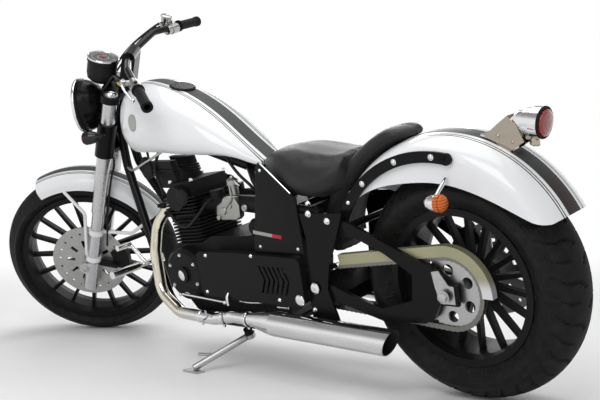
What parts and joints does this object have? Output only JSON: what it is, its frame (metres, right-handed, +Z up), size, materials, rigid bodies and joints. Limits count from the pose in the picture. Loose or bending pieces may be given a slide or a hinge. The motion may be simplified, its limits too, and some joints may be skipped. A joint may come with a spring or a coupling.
{
  "type": "cruiser motorcycle",
  "caption": "Small cruiser motorcycle leaning on its side stand, with a low seat, deep fenders, teardrop tank, spoked wheels, swept bar and chain drive.",
  "frame": {"origin": "centre of the bounding box of the parked motorcycle, on the floor", "axes": "+X forward along the bike, +Y to the rider's left, the side it leans to, +Z up from the floor"},
  "size_m": [2.2374, 0.6794, 1.1711],
  "materials": {
    "frame_black": "gloss",
    "engine_black": "satin",
    "chrome": "polished",
    "fork_silver": "polished",
    "paint_white": "gloss",
    "black_plastic": "matte",
    "leather_black": "satin",
    "tyre": "matte",
    "rim_black": "satin",
    "disc_steel": "brushed",
    "steel": "brushed",
    "bar_black": "gloss",
    "grip_rubber": "matte",
    "lens_red": "gloss"
  },
  "bodies": {
    "root": {"airbox": "black_plastic", "alternator_cover": "engine_black", "carburettors": "black_plastic", "chain_guard": "chrome", "clutch_cover": "engine_black", "crankcase": "engine_black", "cylinder_block": "engine_black", "cylinder_head": "engine_black", "drive_chain": "steel", "fender_strut_left": "frame_black", "fender_strut_right": "frame_black", "foot_control_left": "chrome", "foot_control_right": "chrome", "frame_backbone": "frame_black", "frame_cradle_left": "frame_black", "frame_cradle_right": "frame_black", "fuel_cap": "chrome", "fuel_tank": "paint_white", "header_left": "chrome", "header_right": "chrome", "lower_cover_left": "engine_black", "muffler_left": "chrome", "muffler_right": "chrome", "pillion_pad": "leather_black", "rear_caliper": "engine_black", "rear_fender": "paint_white", "rear_signal_left": "chrome", "rear_signal_right": "chrome", "rider_seat": "leather_black", "side_panel_left": "black_plastic", "side_panel_right": "black_plastic", "swingarm": "frame_black", "tail_lamp": "chrome", "tail_lens": "lens_red"},
    "side_stand": {"side_stand": "steel"},
    "rear_wheel": {"rear_rim": "rim_black", "rear_tyre": "tyre", "rear_sprocket": "steel", "rear_disc": "disc_steel"},
    "front_wheel": {"front_rim": "rim_black", "front_tyre": "tyre", "front_disc": "disc_steel"},
    "steering": {"fork_yokes": "frame_black", "fork_left": "fork_silver", "fork_right": "fork_silver", "front_caliper": "engine_black", "front_fender": "paint_white", "headlight": "chrome", "handlebar": "bar_black", "instrument": "chrome", "hand_control_left": "black_plastic", "hand_control_right": "black_plastic", "grip_left": "grip_rubber", "grip_right": "grip_rubber", "front_signal_left": "chrome", "front_signal_right": "chrome"}
  },
  "joints": [
    {"name": "steering", "type": "hinge", "parent": "root", "child": "steering", "pos_m": [0.56842, 0.06143, 0.79613], "axis": [-0.4183, 0.1729, 0.8917], "range_deg": [-74, 0]},
    {"name": "front_wheel_spin", "type": "hinge", "parent": "steering", "child": "front_wheel", "pos_m": [0.84078, -0.00627, 0.29822], "axis": [-0.5474, 0.7354, -0.3994], "continuous": true},
    {"name": "rear_wheel_spin", "type": "hinge", "parent": "root", "child": "rear_wheel", "pos_m": [-0.79556, -0.03254, 0.31932], "axis": [-0.0009, 0.9816, -0.1908], "continuous": true},
    {"name": "side_stand_fold", "type": "hinge", "parent": "root", "child": "side_stand", "pos_m": [-0.04262, 0.06606, 0.09968], "axis": [0.0043, 0.4761, 0.8794], "range_deg": [0, 114.67]}
  ]
}
